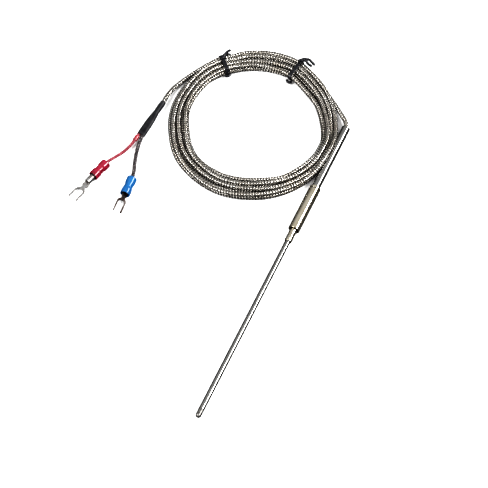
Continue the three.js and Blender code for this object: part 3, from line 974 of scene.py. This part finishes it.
def tie_band(outline, width, thickness):
    """A flat strip bent round an outline in the tie's own plane, and pressed flat against the surface."""
    half = width / 2
    edge = thickness / 2
    loop = np.array(outline + outline[:1], float)
    loop = curve_through(np.column_stack([loop, np.zeros(len(loop))]), 0.35)[:-1, :2]
    loop[:, 1] = np.maximum(loop[:, 1], edge)
    before = np.roll(loop, 1, axis=0)
    after = np.roll(loop, -1, axis=0)
    tangent = after - before
    tangent /= np.linalg.norm(tangent, axis=1)[:, None]
    normal = np.column_stack([tangent[:, 1], -tangent[:, 0]])
    corners = [(-half, -edge), (half, -edge), (half, edge), (-half, edge)]
    section = eased(corners, thickness * 0.45, steps=3)
    rings = []
    for (x, z), (out_x, out_z) in zip(loop, normal):
        rings.append([(x + out_x * t, w, z + out_z * t) for w, t in section])
    return skin(rings, wrap=True)


def twisted_pair(start, end, turns, spread, radius):
    """Two wires twisted round each other between two points of the tie's plane."""
    start = np.array(start, float)
    end = np.array(end, float)
    steps = int(turns * 10)
    parts = []
    for phase in (0, math.pi):
        route = []
        for step in range(steps + 1):
            t = step / steps
            a = phase + 2 * math.pi * turns * t
            centre = start + (end - start) * t
            route.append(centre + spread * np.array([0.2 * math.sin(a), math.cos(a), math.sin(a)]))
        parts.append(wire(route, radius, 10, 0.25))
    return merged(*parts)


def make_tie(number, line, look):
    """A coated wire wrapped round the turns, twisted on top of them and cut off in two tails."""
    degrees = TIE_ANGLES[number - 1]
    start, end = TWISTS[number - 1]
    outline = bundle_outline(line, degrees, TIE_THICKNESS / 2 + 0.02)
    parts = [
        tie_band(outline, TIE_WIDTH, TIE_THICKNESS),
        twisted_pair(start, end, TWIST_TURNS, TIE_WIRE_R * 0.85, TIE_WIRE_R),
    ]
    for tail in TAILS[number - 1]:
        parts.append(wire([end, *tail], TIE_WIRE_R))
    inner = min(x for x, _ in outline)
    parts.append(wire([(inner + x, y, z) for x, y, z in TIE_FOLD], TIE_WIRE_R))
    place = Matrix.Translation((*COIL_CENTRE, 0)) @ spin(degrees)
    tie = make_mesh(f"tie_{number}", *moved(place, merged(*parts)), look, sharp=60)
    dress(tie, "tie_plastic", f"twist_tie_{number}")
    return tie


# ---- lead's end
def make_boot():
    """Shrunk tube: round where it grips the lead, pulled in between the two cores at its mouth."""
    line = curve_through(BOOT_ROUTE, 0.5)
    turn = 2 * np.pi * np.arange(BOOT_SIDES) / BOOT_SIDES
    t = np.linspace(0, 1, len(line))[:, None]
    spread = 1 / (1 + np.exp(-(t - 0.45) * 14))  # 0 on the lead, 1 over the cores
    # A shallow neck where the lead stops, before the tube widens over the cores.
    neck = BOOT_NECK_DEPTH * hump(t - 0.3, 0.06)
    width = BOOT_GRIP_R + (BOOT_MOUTH_HALF_WIDTH - BOOT_GRIP_R) * spread - neck
    depth = BOOT_GRIP_R + (BOOT_MOUTH_HALF_DEPTH - BOOT_GRIP_R) * spread - neck
    across = np.abs(np.cos(turn))[None, :]
    rise = np.abs(np.sin(turn))[None, :]
    power = 2 + 0.5 * spread
    shape = ((across / width) ** power + (rise / depth) ** power) ** (-1 / power)
    # A furrow between the cores, above and below, and fine creases round the neck.
    furrow = 1 - 0.1 * spread * rise ** 6
    creases = BOOT_CREASE_DEPTH * np.sin(60 * t) * hump(t - 0.33, 0.1)
    outside = shape * furrow + creases
    # The cut ends are drawn in a little.
    outside[-1] -= 0.08
    outside[0] -= 0.1
    outer_rings = sweep(line, outside, BOOT_SIDES)
    inner_rings = sweep(line, outside - BOOT_WALL, BOOT_SIDES)
    rings = np.concatenate([outer_rings, inner_rings[::-1]])
    boot = make_mesh("boot", *skin(rings, wrap=True), heat_shrink(), sharp=60)
    dress(boot, "black_shrink", "heat_shrink_boot")
    return boot


def make_collar():
    start = Vector(RED_COLLAR[0])
    run = Vector(RED_COLLAR[1]) - start
    place = Matrix.Translation(start) @ Matrix.Rotation(math.atan2(-run.x, run.y), 4, "Z")
    ring = pipe(RED_COLLAR_R, RED_COLLAR_BORE_R, 0, run.length, 0.12, 40)
    dusty_red = terminal_plastic("dusty_red", (0.17, 0.02, 0.03), (0.28, 0.045, 0.06))
    collar = make_mesh("collar", *moved(place, ring), dusty_red)
    dress(collar, "red_braid", "red_collar")
    return collar


# ---- terminals
def terminal_sleeve():
    """Flared at both ends, pressed in at the waist, with the barrel's step inside its open mouth."""
    length = TERMINAL_SLEEVE_LENGTH
    middle = length / 2
    bore = BARREL_R + CLEARANCE
    corners = [
        (bore, 0),
        (TERMINAL_SLEEVE_R, 0),
        (TERMINAL_SLEEVE_R, middle - TERMINAL_PRESSED_HALF),
        (TERMINAL_WAIST_R, middle - TERMINAL_WAIST_HALF),
        (TERMINAL_WAIST_R, middle + TERMINAL_WAIST_HALF),
        (TERMINAL_SLEEVE_R, middle + TERMINAL_PRESSED_HALF),
        (TERMINAL_SLEEVE_R, length),
        (TERMINAL_MOUTH_R, length),
        (TERMINAL_MOUTH_R, middle + TERMINAL_PRESSED_HALF),
        (bore, middle + 1.2),
    ]
    return turned(eased(corners, 0.22, steps=5))


def scoop(width):
    """The strip between barrel and shoulder: it opens from a half round into a flat."""
    steps = 8
    rings = []
    for step in range(steps + 1):
        t = step / steps
        station = BARREL_LENGTH - 0.6 + t * (SHOULDER_AT - BARREL_LENGTH + 0.9)
        bend = math.radians(88) * (1 - t) ** 1.5 + 0.01
        half = (BARREL_R - FORK_THICKNESS / 2) * (1 - t) * 1.4 + width * t
        bend_r = half / bend
        centre_z = -BARREL_R + FORK_THICKNESS / 2 + bend_r
        ring = []
        # Along the strip's underside one way, and back along its top.
        for side, first, last in ((1, -1, 1), (-1, 1, -1)):
            for i in range(steps + 1):
                a = bend * (first + (last - first) * i / steps)
                r = bend_r + side * FORK_THICKNESS / 2
                ring.append((r * math.sin(a), station, centre_z - r * math.cos(a)))
        rings.append(ring)
    return skin(rings, caps=True)


def arc(centre, radius, start, end, steps=12):
    """Points on a circle between two angles in degrees."""
    result = []
    for step in range(steps + 1):
        a = math.radians(start + (end - start) * step / steps)
        result.append((centre[0] + radius * math.cos(a), centre[1] + radius * math.sin(a)))
    return result


def fork_outline(fork_width, prong_width, shoulder_r):
    """The flat of the terminal: a round shoulder, a neck and two prongs."""
    outer_r = fork_width / 2
    inner_r = outer_r - prong_width
    base = SHOULDER_AT + shoulder_r + 0.4
    centre = base + outer_r
    slot = base + 1.4 + inner_r
    shoulder_cut = math.degrees(math.acos(FORK_NECK_HALF / shoulder_r))
    fork_cut = math.degrees(math.acos(FORK_NECK_HALF / outer_r))
    tip = FORK_TIP_R
    small_tip = tip * 0.4
    right = [
        *arc((0, SHOULDER_AT), shoulder_r, -90 + (90 - shoulder_cut) * 0.6, shoulder_cut),
        *arc((0, centre), outer_r, -fork_cut, 0),
        *arc((outer_r - tip, TERMINAL_LENGTH - tip), tip, 0, 90, 5),
        *arc((inner_r + small_tip, TERMINAL_LENGTH - small_tip), small_tip, 90, 180, 4),
        *arc((0, slot), inner_r, 0, -90),
    ]
    left = [(-x, y) for x, y in reversed(right[:-1])]
    return right + left


def flat_plate(outline, bottom, thickness):
    count = len(outline)
    points = [(x, y, bottom) for x, y in outline] + [(x, y, bottom + thickness) for x, y in outline]
    faces = [tuple(reversed(range(count))), tuple(range(count, 2 * count))]
    for i in range(count):
        j = (i + 1) % count
        faces.append((i, j, count + j, count + i))
    return points, faces


def make_terminal(colour, rear, heading, roll, barrel_at, fork, plastic, tin):
    """A core's plastic sleeve, and the barrel and fork that it covers."""
    place = Matrix.Translation((*rear, TERMINAL_AXIS_Z)) @ spin(heading) @ spin(roll, "Y")
    sleeve = make_mesh(colour, *moved(place, terminal_sleeve()), plastic, sharp=50)
    dress(sleeve, f"{colour}_plastic", f"{colour}_terminal_sleeve")
    metal = merged(
        pipe(BARREL_R, BARREL_BORE_R, 0, BARREL_LENGTH, 0.15, 48),
        scoop(fork[2] * 0.8),
        flat_plate(fork_outline(*fork), -BARREL_R, FORK_THICKNESS),
    )
    ahead = Matrix.Translation((0, barrel_at, 0))
    prongs = make_mesh(f"{colour}_fork", *moved(place @ ahead, metal), tin, bevel=0.12)
    dress(prongs, "tinned_copper", f"{colour}_fork_terminal")
    return sleeve, prongs


def make_terminals():
    red_plastic = terminal_plastic("red_plastic", (0.12, 0.003, 0.013), (0.225, 0.01, 0.036))
    blue_plastic = terminal_plastic("blue_plastic", (0.005, 0.06, 0.16), (0.01, 0.11, 0.26))
    tin = tinned_copper("tinned_copper", (0.12, 0.095, 0.085), (0.28, 0.27, 0.26), (0.36, 0.36, 0.36))
    # The blue terminal's barrel and fork take a darker copy of the tin.
    dark_tin = tinned_copper("darker_tin", (0.03, 0.02, 0.018), (0.09, 0.07, 0.065), (0.2, 0.18, 0.17))
    red = make_terminal("red", **RED_TERMINAL, plastic=red_plastic, tin=tin)
    blue = make_terminal("blue", **BLUE_TERMINAL, plastic=blue_plastic, tin=dark_tin)
    return red, blue


# ---- carried-over CAD nodes
def finish_nodes(look, *names):
    """Gives CAD nodes that are kept their finished material."""
    for name in names:
        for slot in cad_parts[name].material_slots:
            slot.material = look


def finish_hidden_nodes():
    copper = hidden_metal("copper", (0.25, 0.1, 0.05), (0.6, 0.28, 0.15))
    chrome_alloy = hidden_metal("nickel_chrome", (0.2, 0.2, 0.2), (0.45, 0.45, 0.44))
    aluminium_alloy = hidden_metal("nickel_aluminium", (0.18, 0.19, 0.2), (0.4, 0.41, 0.42))
    resin = granular("resin", (0.012, 0.011, 0.01), (0.05, 0.045, 0.04))
    finish_nodes(granular("oxide", (0.6, 0.57, 0.5), (0.82, 0.8, 0.74)), "mineral_core")
    finish_nodes(resin, "end_seal", "potting")
    finish_nodes(copper, "splice_positive", "splice_negative", "braid_clamp_ring")
    finish_nodes(copper, "red_core_end", "black_core_end")
    finish_nodes(chrome_alloy, "measuring_junction", "thermoelement_positive")
    finish_nodes(aluminium_alloy, "thermoelement_negative")
    finish_nodes(granular("inner_red_glass", (0.3, 0.03, 0.04), (0.55, 0.1, 0.12)), "core_wire_positive")
    finish_nodes(granular("inner_black_glass", (0.01, 0.01, 0.01), (0.05, 0.05, 0.05)), "core_wire_negative")


# ---- surroundings
def make_floor():
    half = FLOOR_HALF
    corners = [(-half, -half), (half, -half), (half, half), (-half, half)]
    points, faces = flat_plate(corners, FLOOR_BOTTOM_Z, FLOOR_THICKNESS)
    floor = make_mesh("surface", points, faces, pale_floor())
    floor.visible_glossy = False


def make_world():
    """Even white above, darker towards the horizon, which gives polished metal its dark edges."""
    world = bpy.data.worlds.new("studio")
    world.use_nodes = True
    tree = world.node_tree
    background = tree.nodes["Background"]
    where = tree.nodes.new("ShaderNodeTexCoord")
    split = tree.nodes.new("ShaderNodeSeparateXYZ")
    ramp = tree.nodes.new("ShaderNodeValToRGB")
    for element, (height, level) in zip(ramp.color_ramp.elements, WORLD_LEVELS):
        element.position = height
        element.color = (level, level, level, 1)
    tree.links.new(where.outputs["Generated"], split.inputs[0])
    tree.links.new(split.outputs[2], ramp.inputs[0])
    tree.links.new(ramp.outputs[0], background.inputs[0])
    background.inputs[1].default_value = WORLD_STRENGTH
    bpy.context.scene.world = world


def make_strip_light(name, lean, along, width, power):
    """A long soft light parallel to the probe, so that it shines along the probe's whole length.

    `lean` is its angle in degrees from straight above, towards +X. `along` is how far it stands towards +Y
    and `width` how wide it is, both in metres. `power` is in watts.
    """
    data = bpy.data.lights.new(name, "AREA")
    data.shape = "RECTANGLE"
    data.size = width
    data.size_y = STRIP_LENGTH_M
    data.energy = power
    light = bpy.data.objects.new(name, data)
    a = math.radians(lean)
    light.location = (STRIP_DISTANCE_M * math.sin(a), along, STRIP_DISTANCE_M * math.cos(a))
    light.rotation_euler = (0, a, 0)
    bpy.context.scene.collection.objects.link(light)


def make_surroundings():
    make_floor()
    make_world()
    make_strip_light("light_right", lean=46, along=0.5, width=0.24, power=17)
    make_strip_light("light_left", lean=-38, along=-0.75, width=0.5, power=14)
    bpy.context.scene.view_settings.view_transform = "Standard"
    bpy.context.scene.view_settings.look = "Very High Contrast"


# ---- everything
def build():
    make_camera()
    # Each braid's dark colour is painted shade in the gaps between its yarns.
    red_glass = glass_braid(
        "red_braid", dark=(0.1, 0.008, 0.014), light=(0.22, 0.05, 0.066), fleck=(0.46, 0.22, 0.24))
    black_glass = glass_braid(
        "black_braid", dark=(0.003, 0.003, 0.004), light=(0.045, 0.04, 0.042), fleck=(0.42, 0.38, 0.37))
    lead, lead_line = make_lead()
    red, red_line = make_core("red", RED_CORE, RED_CORE_R, red_glass)
    black, black_line = make_core("black", BLACK_CORE, BLACK_CORE_R, black_glass)
    make_probe()
    tie_look = tie_plastic()
    ties = [make_tie(number, lead_line, tie_look) for number in (1, 2)]
    boot = make_boot()
    collar = make_collar()
    (red_sleeve, red_fork), (blue_sleeve, blue_fork) = make_terminals()
    finish_hidden_nodes()

    make_surroundings()


build()
